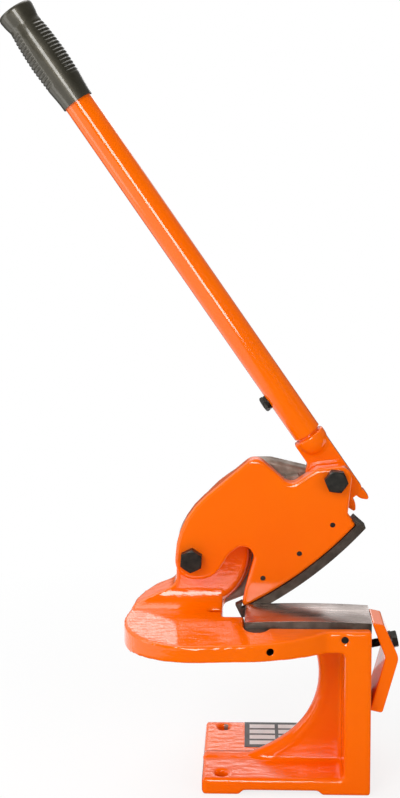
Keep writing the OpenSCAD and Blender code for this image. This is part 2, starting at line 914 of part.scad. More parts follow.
module upper_arm() {
    from = edge_start - 3;
    to = edge_end + 3;
    color("darkorange")
        difference() {
            along_y(arm_front, arm_back)
                polygon(arm_outline);
            along_y(lip_back, arm_back + 1)
                polygon(concat(
                    arc(edge_centre, edge_radius + cutting_strip, from, to, 24),
                    arc(edge_centre, pocket_r, to, from, 24)
                ));
            rod_y(pivot, bush_d / 2 + seat_fit / 2, arm_front - 1, arm_back + 1);
            rod_y(lever_pivot, pivot_bolt_r + seat_fit, arm_front - 1, arm_back + 1);
            for (a = upper_screw_angles)
                rod_y(
                    polar(edge_centre, upper_screw_r, a),
                    upper_screw_d / 2 + seat_fit,
                    arm_front - 1,
                    arm_back + 1
                );
        }
}

// Upper blade

module upper_blade_screw_set(fit = 0) {
    for (a = upper_screw_angles) {
        centre = polar(edge_centre, upper_screw_r, a);
        translate([centre.x, arm_back - seat_fit, centre.y])
            rotate([90, 0, 0])
                countersunk(upper_screw_d, arm_thickness - upper_screw_recess, fit);
    }
}

module upper_blade() {
    strip = cutting_strip - seat_fit;
    color("dimgray")
        difference() {
            union() {
                along_y(shear_y, lip_back) {
                    edge_band(strip, edge_start, edge_end);
                    difference() {
                        edge_band(blade_end_width, edge_start, edge_start + blade_end);
                        polygon(arm_outline);
                    }
                    difference() {
                        edge_band(blade_end_width, edge_end - blade_end, edge_end);
                        polygon(arm_outline);
                    }
                }
                along_y(lip_back, arm_back - seat_fit) {
                    edge_band(upper_blade_width, body_start, body_end);
                    edge_band(blade_end_width, body_start, edge_end);
                }
            }
            upper_blade_screw_set(seat_fit);
        }
}

module upper_blade_screws() {
    color("black")
        upper_blade_screw_set();
}

// Lever pivot

lever_washer_front = gear_back + running_gap;
lever_nut_front = lever_washer_front + pivot_washer_h;

module lever_pivot_bolt() {
    color("black") {
        hexagon_y(lever_pivot, pivot_bolt_af, arm_front - pivot_head_h, arm_front, lever_head_turn);
        rod_y(lever_pivot, pivot_bolt_r, arm_front - head_root, lever_nut_front + pivot_nut_h + bolt_end);
    }
}

module lever_pivot_washer() {
    color("gray")
        ring_y(lever_pivot, pivot_washer_r, pivot_bolt_r + seat_fit, lever_washer_front, lever_nut_front);
}

module lever_pivot_nut() {
    color("black")
        difference() {
            hexagon_y(
                lever_pivot,
                pivot_bolt_af,
                lever_nut_front,
                lever_nut_front + pivot_nut_h,
                lever_nut_turn
            );
            rod_y(
                lever_pivot,
                pivot_bolt_r + seat_fit,
                lever_nut_front - 1,
                lever_nut_front + pivot_nut_h + 1
            );
        }
}

// Lever and handle

lever_root_r = lever_pitch_r - dedendum;
stub_r = tube_bore_r - seat_fit;
shoulder_start = 50;
shoulder_groove = 4;
shoulder_end = tube_start - shoulder_groove;
set_bolt_depth = 5;

// Gear teeth on the driving side, cut off along the lever's straight right edge
module lever_profile() {
    half = lever_width / 2;
    reach = tube_start + lever_pitch_r;
    intersection() {
        union() {
            circle(lever_root_r);
            for (i = [0:5])
                rotate(mesh_angle + 180 + (i - 0.5) * lever_step)
                    polygon(tooth(lever_teeth, lever_root_r));
            rotate(handle_angle)
                translate([0, -half])
                    square([shoulder_end, lever_width]);
        }
        rotate(handle_angle)
            translate([-reach, -half])
                square([2 * reach, reach]);
    }
}

module set_bolt_hole(fit, inner_r, outer_r) {
    translate([-outer_r, 0, set_bolt_distance])
        rotate([0, 90, 0])
            cylinder(r = set_bolt_d / 2 + fit, h = outer_r - inner_r);
}

module lever_gear() {
    color("darkorange")
        difference() {
            union() {
                along_y(gear_front, gear_back)
                    translate(lever_pivot)
                        lever_profile();
                on_handle() {
                    translate([0, 0, shoulder_start])
                        intersection() {
                            sphere(d = lever_width);
                            translate([0, 0, -lever_width])
                                cylinder(d = 2 * lever_width, h = lever_width);
                        }
                    translate([0, 0, shoulder_start])
                        cylinder(d = lever_width, h = shoulder_end - shoulder_start);
                    translate([0, 0, shoulder_start])
                        cylinder(r = stub_r, h = tube_start + stub_length - shoulder_start);
                }
            }
            rod_y(lever_pivot, bush_d / 2 + seat_fit / 2, gear_front - 1, gear_back + 1);
            on_handle()
                set_bolt_hole(seat_fit, stub_r - set_bolt_depth, tube_d);
        }
}

module lever_bush() {
    color("goldenrod")
        ring_y(lever_pivot, bush_d / 2, pivot_bolt_r + pin_fit, gear_front, gear_back);
}

module handle_tube() {
    color("darkorange")
        on_handle()
            difference() {
                translate([0, 0, tube_start])
                    cylinder(d = tube_d, h = tube_length);
                translate([0, 0, tube_start - 1])
                    cylinder(r = tube_bore_r, h = tube_length + 2);
                set_bolt_hole(seat_fit, 0, tube_d);
            }
}

module handle_set_bolt() {
    head = tube_d / 2 + lock_nut_h;
    color("black")
        on_handle() {
            set_bolt_hole(0, stub_r - set_bolt_depth + seat_fit, head);
            translate([-head - set_head_h, 0, set_bolt_distance])
                rotate([0, 90, 0])
                    hexagon(set_bolt_af, set_head_h);
        }
}

module handle_lock_nut() {
    nut = tube_d / 2 + lock_nut_h;
    color("black")
        on_handle()
            difference() {
                translate([-nut, 0, set_bolt_distance])
                    rotate([0, 90, 0])
                        rotate(lock_nut_turn)
                            hexagon(set_bolt_af, lock_nut_h);
                set_bolt_hole(seat_fit, 0, tube_d);
            }
}

// The grip swells in the middle and ends in a rounded flange
module handle_grip() {
    bore_r = tube_d / 2 + seat_fit;
    sleeve_r = bore_r + grip_sleeve;
    flange_r = sleeve_r + grip_flange;
    flange_h = 20;
    flange_rounding = 4;
    low = tube_end - grip_length + grip_cap;
    high = low + grip_length;
    steps = 14;
    body = [for (i = [0:steps])
        [sleeve_r + grip_swell * sin(180 * i / steps), low + (grip_length - flange_h) * i / steps]];
    color("dimgray")
        on_handle()
            rotate_extrude()
                polygon(concat(
                    [[bore_r, low]],
                    body,
                    [
                        [flange_r - 0.3 * grip_flange, high - 0.6 * flange_h],
                        [flange_r, high - flange_rounding],
                        [flange_r - flange_rounding / 2, high],
                        [0, high],
                        [0, tube_end + seat_fit],
                        [bore_r, tube_end + seat_fit]
                    ]
                ));
}

frame_casting();
gear_sector();
sector_screws();
lower_blade();
lower_blade_screws();
blade_clamp();
clamp_bolt();
clamp_washer();
main_pivot_bolt();
main_pivot_washer();
main_pivot_nut();
upper_arm();
main_pivot_bush();
upper_blade();
upper_blade_screws();
lever_pivot_bolt();
lever_pivot_washer();
lever_pivot_nut();
lever_gear();
lever_bush();
handle_tube();
handle_set_bolt();
handle_lock_nut();
handle_grip();
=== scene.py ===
"""Looks of a bench-mounted lever shear: painted castings, dark blades, black bolts and a ribbed grip."""

import json
import math

import bmesh
import bpy
import numpy as np
import openvdb
from mathutils import Matrix, Quaternion, Vector

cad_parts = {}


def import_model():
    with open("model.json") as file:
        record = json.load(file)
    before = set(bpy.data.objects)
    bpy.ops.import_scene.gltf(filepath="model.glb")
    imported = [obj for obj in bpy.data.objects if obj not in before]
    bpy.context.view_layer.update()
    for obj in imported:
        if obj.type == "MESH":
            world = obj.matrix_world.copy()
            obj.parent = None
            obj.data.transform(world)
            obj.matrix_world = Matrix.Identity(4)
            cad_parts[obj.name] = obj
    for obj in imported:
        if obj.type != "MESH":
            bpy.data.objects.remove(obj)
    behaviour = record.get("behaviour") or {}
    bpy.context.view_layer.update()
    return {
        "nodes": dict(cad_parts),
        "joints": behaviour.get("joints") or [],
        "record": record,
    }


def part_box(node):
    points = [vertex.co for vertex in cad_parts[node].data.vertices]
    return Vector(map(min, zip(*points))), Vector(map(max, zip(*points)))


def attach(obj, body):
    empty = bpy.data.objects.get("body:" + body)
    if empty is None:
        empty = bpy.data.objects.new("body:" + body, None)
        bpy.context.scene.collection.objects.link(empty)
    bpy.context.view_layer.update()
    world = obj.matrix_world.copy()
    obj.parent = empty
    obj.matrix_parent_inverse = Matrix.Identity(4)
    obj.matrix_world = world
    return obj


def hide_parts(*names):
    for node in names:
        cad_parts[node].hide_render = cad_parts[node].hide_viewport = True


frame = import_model()

MM = 0.001

# Camera, fitted to the photograph's 400 by 798 pixels
PHOTO_W, PHOTO_H = 400, 798
FOCAL_PX = 1147.0
PRINCIPAL_PX = (225.0, 280.0)
CAMERA_PLACE = (0.0314, -1.3075, 0.6916)
CAMERA_PITCH, CAMERA_YAW = 5.0, 1.25
SENSOR = 36.0

# Places read from the frame
JOINTS = {joint["name"]: joint for joint in frame["joints"]}
PIVOT = Vector(JOINTS["arm_pivot"]["pos_m"])
LEVER_PIVOT = Vector(JOINTS["lever_pivot"]["pos_m"])
BENCH = frame["record"]["mounts"][0]["dims"]
FRAME_LOW, FRAME_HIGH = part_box("frame_casting")
BLADE_LOW, BLADE_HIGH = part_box("lower_blade")
BLADE_SCREWS_LOW, BLADE_SCREWS_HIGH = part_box("lower_blade_screws")
ARM_LOW, ARM_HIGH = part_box("upper_arm")
BUSH_LOW, BUSH_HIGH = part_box("lever_bush")
CLAMP_WASHER = sum(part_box("clamp_washer"), Vector()) / 2
CHEEK_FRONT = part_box("gear_sector")[1].y
CHEEK_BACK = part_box("main_pivot_washer")[0].y

# Sizes of the casting that the boxes don't give
BASE_LEFT, BASE_HALF_DEPTH = -22 * MM, 70 * MM
BASE_TOP = 19 * MM
LEFT_PAD_END, RIGHT_PAD_START = 20 * MM, 114 * MM
TABLE_TOP, TABLE_BOTTOM = 190 * MM, 164 * MM
BOSS_RADIUS = 68 * MM
HEEL_RADIUS = 12.5 * MM
SEAT_FIT = 0.1 * MM
SLOT_LENGTH, SLOT_TOP = 18 * MM, 187.6 * MM
SLOT_FRONT, SLOT_BACK = -10.1 * MM, 0.3 * MM
THROAT_X = 0.0
TABLE_FRONT, COLUMN_FRONT = -103.2 * MM, -70 * MM
PIVOT_HOLE_R, CLAMP_HOLE_R = 8.1 * MM, 5.1 * MM
CLAMP_HOLE_DEPTH = 20 * MM
CLAMP_BOLT_TILT = 12.0
HANDLE_ANGLE, HANDLE_OFFSET = 124.6, 1.5 * MM

# Holes of the lower blade's screws: one at the front of the table and one in the column
SCREW_HEAD_R = (BLADE_SCREWS_HIGH.z - BLADE_SCREWS_LOW.z) / 2
SCREW_HOLE_R = SCREW_HEAD_R / 2 + SEAT_FIT
SCREW_HOLE_END = -40 * MM
SCREW_Z = (BLADE_SCREWS_LOW.z + BLADE_SCREWS_HIGH.z) / 2
TABLE_SCREW_X = BLADE_SCREWS_LOW.x + SCREW_HEAD_R
COLUMN_SCREW_X = BLADE_SCREWS_HIGH.x - SCREW_HEAD_R

# Where the cheek takes the iron colour: bare on top, to the right of and above a place, and a grey band on
# its left side
BARE_TOP_LEFT, BARE_TOP_LOW = 8 * MM, 332 * MM
GREY_SIDE_RIGHT = -44 * MM
GREY_SIDE_LOW, GREY_SIDE_HIGH = 250 * MM, 279 * MM

# The handle's own frame: +Z along the tube, -Y towards the front
HANDLE = (
    Matrix.Translation((LEVER_PIVOT.x, (BUSH_LOW.y + BUSH_HIGH.y) / 2, LEVER_PIVOT.z))
    @ Matrix.Rotation(math.radians(90 - HANDLE_ANGLE), 4, "Y")
    @ Matrix.Translation((HANDLE_OFFSET, 0, 0))
)
# The clamp bolt's own frame: +Z out of the column, through the clamp
CLAMP_BOLT = Matrix.Translation(CLAMP_WASHER) @ Matrix.Rotation(math.radians(90 - CLAMP_BOLT_TILT), 4, "Y")


# Mesh tools


def new_object(name, mesh):
    """An object for a mesh, linked to the scene."""
    obj = bpy.data.objects.new(name, mesh)
    bpy.context.scene.collection.objects.link(obj)
    return obj


def mesh_from(name, points, faces):
    """A mesh of points and faces."""
    mesh = bpy.data.meshes.new(name)
    mesh.from_pydata([tuple(p) for p in points], [], [tuple(f) for f in faces])
    mesh.update()
    return mesh


def welded_copy(node, name):
    """A new object with the CAD node's mesh, its split corners welded."""
    mesh = frame["nodes"][node].data.copy()
    mesh.materials.clear()
    work = bmesh.new()
    work.from_mesh(mesh)
    bmesh.ops.remove_doubles(work, verts=work.verts, dist=0.002 * MM)
    work.to_mesh(mesh)
    work.free()
    for layer in ("custom_normal", "sharp_face", "sharp_edge"):
        old = mesh.attributes.get(layer)
        if old is not None:
            mesh.attributes.remove(old)
    return new_object(name, mesh)


def twin(obj):
    """A second object with a copy of the mesh."""
    return new_object(obj.name + "_twin", obj.data.copy())


def apply_modifiers(obj):
    """Replaces the object's mesh with what its modifiers make of it."""
    graph = bpy.context.evaluated_depsgraph_get()
    made = bpy.data.meshes.new_from_object(obj.evaluated_get(graph))
    made.materials.clear()
    obj.modifiers.clear()
    obj.data = made
    return obj


def combine(obj, other, operation):
    """Joins, cuts or intersects obj with other, and removes other."""
    modifier = obj.modifiers.new(operation, "BOOLEAN")
    modifier.operation = operation
    modifier.object = other
    modifier.solver = "MANIFOLD"
    apply_modifiers(obj)
    bpy.data.objects.remove(other)
    return obj


def shade(obj, angle=32.0):
    """Smooth faces, with edges sharper than the angle kept crisp."""
    mesh = obj.data
    work = bmesh.new()
    work.from_mesh(mesh)
    for face in work.faces:
        face.smooth = True
    for edge in work.edges:
        turned = edge.calc_face_angle(0.0) if len(edge.link_faces) == 2 else math.pi
        edge.smooth = turned < math.radians(angle)
    work.to_mesh(mesh)
    work.free()
    return obj


def surface_of(obj):
    """Points, triangles and quads of an object's mesh, as the volume tools take them."""
    mesh = obj.data
    mesh.calc_loop_triangles()
    points = np.zeros(len(mesh.vertices) * 3, np.float32)
    mesh.vertices.foreach_get("co", points)
    triangles = np.zeros(len(mesh.loop_triangles) * 3, np.int32)
    mesh.loop_triangles.foreach_get("vertices", triangles)
    no_quads = np.zeros((0, 4), np.uint32)
    return points.reshape(-1, 3), triangles.reshape(-1, 3).astype(np.uint32), no_quads


def shifted(surface, distance, voxel):
    """The surface that lies that distance outside a closed surface, or inside it if negative."""
    points, triangles, quads = surface
    grid = openvdb.FloatGrid.createLevelSetFromPolygons(
        points,
        triangles=triangles,
        quads=quads,
        transform=openvdb.createLinearTransform(voxel),
        halfWidth=abs(distance) / voxel + 3,
    )
    return grid.convertToPolygons(isovalue=distance, adaptivity=0.0)


def reshape(obj, distances, voxel):
    """Moves the object's whole surface out, or in if negative, by each distance in turn."""
    surface = surface_of(obj)
    for distance in distances:
        if distance:
            surface = shifted(surface, distance, voxel)
    points, triangles, quads = surface
    faces = [f[::-1] for f in triangles.tolist()] + [f[::-1] for f in quads.tolist()]
    obj.data = mesh_from(obj.name, points, faces)
    return obj


def cast_edges(obj, convex, concave, voxel):
    """Rounds the outer edges and fillets the inner ones, as on a casting. Sizes are in metres."""
    return reshape(obj, (concave, -concave - convex, convex), voxel)


def wide_fillets(obj, region, concave, voxel):
    """Adds wider fillets to the inner corners that lie in a region. Flat faces stay as they are."""
    below_flats = 0.2 * MM
    filleted = reshape(twin(obj), (concave, -concave - below_flats), voxel)
    combine(filleted, region, "INTERSECT")
    return combine(obj, filleted, "UNION")


def rod(start, end, radius, sides=64):
    """A closed cylinder between two points."""
    start, end = Vector(start), Vector(end)
    turn = (end - start).to_track_quat("Z", "Y").to_matrix().to_4x4()
    mesh = bpy.data.meshes.new("rod")
    work = bmesh.new()
    bmesh.ops.create_cone(
        work,
        cap_ends=True,
        segments=sides,
        radius1=radius,
        radius2=radius,
        depth=(end - start).length,
        matrix=Matrix.Translation((start + end) / 2) @ turn,
    )
    work.to_mesh(mesh)
    work.free()
    return new_object("rod", mesh)


def add_box(work, low, high, material=0):
    """Adds a closed box between two corners to a mesh in the making."""
    low, high = Vector(low), Vector(high)
    place = Matrix.Translation((low + high) / 2) @ Matrix.Diagonal((*(high - low), 1.0))
    made = bmesh.ops.create_cube(work, size=1.0, matrix=place)
    for face in {face for vert in made["verts"] for face in vert.link_faces}:
        face.material_index = material


def brick(low, high):
    """A closed box between two corners."""
    mesh = bpy.data.meshes.new("brick")
    work = bmesh.new()
    add_box(work, low, high)
    work.to_mesh(mesh)
    work.free()
    return new_object("brick", mesh)


def turned_body(name, rings, place, sides=96):
    """A closed solid of revolution about +Z. Each ring has a radius, or a function of angle, and a height."""
    angles = [2 * math.pi * i / sides for i in range(sides)]
    points = [(0, 0, rings[0][1])]
    for radius, height in rings:
        for a in angles:
            r = radius(a) if callable(radius) else radius
            points.append((r * math.cos(a), r * math.sin(a), height))
    points.append((0, 0, rings[-1][1]))
    last = 1 + (len(rings) - 1) * sides
    faces = []
    for i in range(sides):
        j = (i + 1) % sides
        faces.append((0, 1 + j, 1 + i))
        for low in range(1, last, sides):
            faces.append((low + i, low + j, low + sides + j, low + sides + i))
        faces.append((last + i, last + j, len(points) - 1))
    obj = new_object(name, mesh_from(name, points, faces))
    obj.data.transform(place)
    return obj


def outer_loop(obj, y):
    """The outline of the flat face at y, without its holes, as points in order."""
    work = bmesh.new()
    work.from_mesh(obj.data)
    flat = {f for f in work.faces if all(abs(v.co.y - y) < 0.01 * MM for v in f.verts)}
    rim = {}
    for face in flat:
        for loop in face.loops:
            if sum(other in flat for other in loop.edge.link_faces) == 1:
                rim[loop.vert] = loop.link_loop_next.vert
    outlines = []
    while rim:
        vert, after = rim.popitem()
        outline = [vert.co.copy()]
        while after in rim:
            outline.append(after.co.copy())
            after = rim.pop(after)
        outlines.append(outline)
    work.free()
    return max(outlines, key=lambda points: max(p.x for p in points) - min(p.x for p in points))


def plate(name, outline, low, high):
    """A closed plate with an outline in the XZ plane, between two values of y."""
    count = len(outline)
    points = [(p.x, y, p.z) for y in (low, high) for p in outline]
    sides = [(i, count + i, count + (i + 1) % count, (i + 1) % count) for i in range(count)]
    caps = [tuple(range(count)), tuple(range(2 * count - 1, count - 1, -1))]
    return new_object(name, mesh_from(name, points, sides + caps))


def bevelled(obj, width, segments=2, angle=40.0):
    """Breaks the sharp edges of a machined piece."""
    modifier = obj.modifiers.new("edges", "BEVEL")
    modifier.width = width
    modifier.segments = segments
    modifier.limit_method = "ANGLE"
    modifier.angle_limit = math.radians(angle)
    return apply_modifiers(obj)


def local_points(node, place):
    """The CAD node's corners in a local frame."""
    back = place.inverted()
    return [back @ vert.co for vert in frame["nodes"][node].data.vertices]


def assign(obj, index, chosen):
    """Gives a material index to the faces that a test picks."""
    for polygon in obj.data.polygons:
        if chosen(polygon.center, polygon.normal):
            polygon.material_index = index


def dress(obj, body, slot, *materials, node=None):
    """The object rides on a body with its materials, and may stand for a CAD node."""
    for material in materials:
        obj.data.materials.append(material)
    if node:
        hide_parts(node)
    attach(obj, body)
    return obj


# Materials


class Nodes:
    """Builds one node material."""

    def __init__(self, name):
        self.material = bpy.data.materials.new(name)
        self.material.use_nodes = True
        self.tree = self.material.node_tree
        self.shader = self.tree.nodes["Principled BSDF"]
        self.place = self.tree.nodes.new("ShaderNodeTexCoord").outputs["Object"]

    def add(self, kind, **values):
        node = self.tree.nodes.new(kind)
        for key, value in values.items():
            setattr(node, key, value)
        return node

    def link(self, output, target):
        self.tree.links.new(output, target)

    def stretched(self, scale):
        """The place on the object, scaled along its axes."""
        node = self.add("ShaderNodeMapping")
        node.inputs["Scale"].default_value = scale
        self.link(self.place, node.inputs["Vector"])
        return node.outputs["Vector"]

    def noise(self, scale, detail=3.0, vector=None):
        node = self.add("ShaderNodeTexNoise")
        node.inputs["Scale"].default_value = scale
        node.inputs["Detail"].default_value = detail
        self.link(vector or self.place, node.inputs["Vector"])
        return node.outputs["Fac"]

    def ramp(self, value, low, high, start=0.35, end=0.65):
        """Spreads a value over a range of numbers."""
        node = self.add("ShaderNodeMapRange")
        node.inputs["From Min"].default_value = start
        node.inputs["From Max"].default_value = end
        node.inputs["To Min"].default_value = low
        node.inputs["To Max"].default_value = high
        self.link(value, node.inputs["Value"])
        return node.outputs["Result"]

    def mix(self, factor, first, second):
        """Blends two colours, each a tuple or an output."""
        node = self.add("ShaderNodeMix", data_type="RGBA")
        self.link(factor, node.inputs["Factor"])
        for value, index in ((first, 6), (second, 7)):
            if isinstance(value, tuple):
                node.inputs[index].default_value = (*value, 1.0)
            else:
                self.link(value, node.inputs[index])
        return node.outputs[2]

    def bump(self, height, strength, distance, normal=None):
        node = self.add("ShaderNodeBump")
        node.inputs["Strength"].default_value = strength
        node.inputs["Distance"].default_value = distance
        self.link(height, node.inputs["Height"])
        if normal is not None:
            self.link(normal, node.inputs["Normal"])
        return node.outputs["Normal"]

    def set(self, **values):
        """Numbers, colours or links for the shader's sockets."""
        for key, value in values.items():
            socket = self.shader.inputs[key.replace("_", " ")]
            if isinstance(value, bpy.types.NodeSocket):
                self.link(value, socket)
            elif isinstance(value, tuple):
                socket.default_value = (*value, 1.0)
            else:
                socket.default_value = value
        return self.material


def paint(name, colour, deep, grain=0.0):
    """Gloss enamel. The grain is the depth of the cast skin under it, in metres."""
    n = Nodes(name)
    tone = n.ramp(n.noise(9.0, 4.0), 0.0, 1.0)
    normal = n.bump(n.noise(60.0, 2.0), 0.10, 0.10 * MM)
    if grain:
        waves = n.noise(170.0, 3.0, n.stretched((0.3, 1.0, 1.0)))
        normal = n.bump(waves, 0.6, grain, normal)
    return n.set(
        Base_Color=n.mix(tone, colour, deep),
        Roughness=n.ramp(n.noise(38.0, 3.0), 0.16, 0.24),
        IOR=1.6,
        Specular_IOR_Level=0.02,
        Coat_Weight=1.0,
        Coat_IOR=1.6,
        Coat_Roughness=0.09,
        Normal=normal,
        Coat_Normal=normal,
    )


def bare_iron(name, colour, rust):
    """Machined or cast iron without paint."""
    n = Nodes(name)
    blotch = n.ramp(n.noise(55.0, 6.0), 0.0, 1.0)
    pits = n.noise(700.0, 4.0)
    return n.set(
        Base_Color=n.mix(blotch, colour, rust),
        Metallic=0.6,
        Roughness=n.ramp(n.noise(120.0, 4.0), 0.45, 0.70),
        Normal=n.bump(pits, 0.35, 0.25 * MM),
    )


def ground_steel(name, colour, dark, rough, scale):
    """Steel with fine grinding marks. The scale sets their direction."""
    n = Nodes(name)
    marks = n.noise(220.0, 4.0, n.stretched(scale))
    cloud = n.ramp(n.noise(30.0, 4.0), 0.0, 1.0)
    return n.set(
        Base_Color=n.mix(cloud, colour, dark),
        Metallic=1.0,
        Roughness=n.ramp(marks, rough - 0.06, rough + 0.10),
        Normal=n.bump(marks, 0.25, 0.06 * MM),
    )


def dark_steel(name, colour, brown):
    """Hardened blade steel with a dark scale on it."""
    n = Nodes(name)
    cloud = n.ramp(n.noise(70.0, 5.0), 0.0, 1.0)
    return n.set(
        Base_Color=n.mix(cloud, colour, brown),
        Metallic=0.55,
        Roughness=n.ramp(n.noise(180.0, 4.0), 0.36, 0.56),
        Normal=n.bump(n.noise(600.0, 3.0), 0.25, 0.10 * MM),
    )


def black_oxide(name):
    """Blackened bolt steel."""
    n = Nodes(name)
    cloud = n.ramp(n.noise(160.0, 4.0), 0.0, 1.0)
    return n.set(
        Base_Color=n.mix(cloud, (0.020, 0.019, 0.016), (0.040, 0.036, 0.030)),
        Metallic=0.5,
        Roughness=n.ramp(n.noise(260.0, 3.0), 0.32, 0.48),
        Normal=n.bump(n.noise(900.0, 2.0), 0.15, 0.08 * MM),
    )


def zinc(name):
    """Bright plated steel."""
    n = Nodes(name)
    cloud = n.ramp(n.noise(240.0, 4.0), 0.0, 1.0)
    return n.set(
        Base_Color=n.mix(cloud, (0.52, 0.52, 0.50), (0.38, 0.39, 0.40)),
        Metallic=1.0,
        Roughness=n.ramp(n.noise(400.0, 3.0), 0.24, 0.40),
    )


def bronze(name):
    """Plain bearing bronze."""
    n = Nodes(name)
    cloud = n.ramp(n.noise(180.0, 4.0), 0.0, 1.0)
    return n.set(
        Base_Color=n.mix(cloud, (0.46, 0.26, 0.09), (0.30, 0.16, 0.06)),
        Metallic=1.0,
        Roughness=n.ramp(n.noise(300.0, 3.0), 0.28, 0.42),
    )


def grip_plastic(name):
    """Moulded black plastic with a satin skin."""
    n = Nodes(name)
    cloud = n.ramp(n.noise(60.0, 4.0), 0.0, 1.0)
    return n.set(
        Base_Color=n.mix(cloud, (0.026, 0.024, 0.016), (0.036, 0.033, 0.023)),
        Roughness=n.ramp(n.noise(90.0, 3.0), 0.38, 0.46),
        Specular_IOR_Level=0.7,
        Specular_Tint=(1.0, 0.92, 0.74),
        Coat_Weight=0.8,
        Coat_Roughness=0.10,
    )


def printed(name, colour, other):
    """A printed label film."""
    n = Nodes(name)
    cloud = n.ramp(n.noise(90.0, 4.0), 0.0, 1.0)
    return n.set(
        Base_Color=n.mix(cloud, colour, other),
        Roughness=n.ramp(n.noise(70.0, 3.0), 0.28, 0.40),
    )


ORANGE, DEEP_ORANGE = (1.0, 0.162, 0.0), (1.0, 0.146, 0.0)
CAST_PAINT = paint("orange_cast_paint", ORANGE, DEEP_ORANGE, grain=1.0 * MM)
SMOOTH_PAINT = paint("orange_paint", ORANGE, DEEP_ORANGE)
IRON = bare_iron("bare_iron", (0.400, 0.345, 0.295), (0.200, 0.150, 0.115))
DARK_BLADE = dark_steel("dark_blade", (0.110, 0.085, 0.068), (0.065, 0.048, 0.036))
BRIGHT_BLADE = ground_steel("ground_blade", (0.60, 0.52, 0.49), (0.46, 0.39, 0.36), 0.30, (0.05, 1.0, 1.0))
OXIDE = black_oxide("black_oxide")
ZINC = zinc("zinc_steel")
BRONZE = bronze("bearing_bronze")
GRIP = grip_plastic("grip_plastic")
LABEL_DARK = printed("label_dark", (0.035, 0.033, 0.032), (0.055, 0.052, 0.050))
LABEL_PALE = printed("label_pale", (0.78, 0.77, 0.76), (0.70, 0.69, 0.68))


# Frame casting


def frame_machining(reach):
    """Solids of the frame's machined seats and holes, longer by reach where they break the surface."""
    edge = max(reach, 0.0)
    boss_front = ARM_HIGH.y + 0.3 * MM
    heel_x = BLADE_LOW.x + HEEL_RADIUS + 1 * MM
    heel_y = BLADE_LOW.y + HEEL_RADIUS
    seat_front = heel_y - SEAT_FIT
    table_back = BLADE_HIGH.y - 3 * MM
    bolt_out = CLAMP_BOLT.to_3x3() @ Vector((0, 0, 1))
    to_column = (CLAMP_WASHER.x - FRAME_HIGH.x) / bolt_out.x
    bolt_mouth = CLAMP_WASHER - bolt_out * (to_column - reach)
    bolt_end = CLAMP_WASHER - bolt_out * (to_column + CLAMP_HOLE_DEPTH)
    screw_holes = [
        rod((x, front - reach, SCREW_Z), (x, SCREW_HOLE_END, SCREW_Z), SCREW_HOLE_R)
        for x, front in ((TABLE_SCREW_X, TABLE_FRONT), (COLUMN_SCREW_X, COLUMN_FRONT))
    ]
    return [
        rod((PIVOT.x, boss_front - edge, PIVOT.z), (PIVOT.x, CHEEK_BACK + edge, PIVOT.z), PIVOT_HOLE_R),
        *screw_holes,
        rod(bolt_mouth, bolt_end, CLAMP_HOLE_R),
        rod((heel_x, heel_y, BLADE_LOW.z), (heel_x, heel_y, TABLE_TOP + edge), HEEL_RADIUS + SEAT_FIT),
        brick(
            (BLADE_LOW.x - SEAT_FIT, seat_front, BLADE_LOW.z),
            (FRAME_HIGH.x + edge, table_back + edge, TABLE_TOP + edge),
        ),
        brick(
            (THROAT_X - SLOT_LENGTH, SLOT_FRONT, TABLE_BOTTOM - edge),
            (THROAT_X + edge, SLOT_BACK, SLOT_TOP),
        ),
    ]


def foot_machining():
    """What planes the underside flat, and the lower part of the bench holes."""
    past = 20 * MM
    hole_r = BENCH["hole_r_mm"] * MM
    side = BENCH["spacing_y_mm"] / 2 * MM
    return [
        brick((FRAME_LOW.x, FRAME_LOW.y, -past), (FRAME_HIGH.x + past, FRAME_HIGH.y + past, 0)),
        rod((0, side, -past), (0, side, BASE_TOP / 2), hole_r),
        rod((0, -side, -past), (0, -side, BASE_TOP / 2), hole_r),
    ]


def iron_coloured_face(at, normal):
    """Whether the face takes the iron colour: bare on the cheek's front beside the gears and on its top, and
    a grey band on its left side.
    """
    if at.y < CHEEK_FRONT - 1 * MM or normal.y > 0.5:
        return False
    beyond_boss = (Vector((at.x, 0, at.z)) - PIVOT).length > BOSS_RADIUS - 1 * MM
    front = normal.y < -0.5 and at.x > THROAT_X and beyond_boss
    top = at.x > BARE_TOP_LEFT and at.z > BARE_TOP_LOW
    side = at.x < GREY_SIDE_RIGHT and GREY_SIDE_LOW < at.z < GREY_SIDE_HIGH
    return front or top or side


def painted_shade_hole_face(at, normal):
    """Whether the face lies on the wall of a lower blade screw's hole, where black oxide is painted shade
    inside the hole.
    """
    aside = min(abs(at.x - TABLE_SCREW_X), abs(at.x - COLUMN_SCREW_X))
    near_axis = math.hypot(aside, at.z - SCREW_Z) < SCREW_HOLE_R + 0.2 * MM
    return near_axis and abs(normal.y) < 0.3 and at.y < -20 * MM


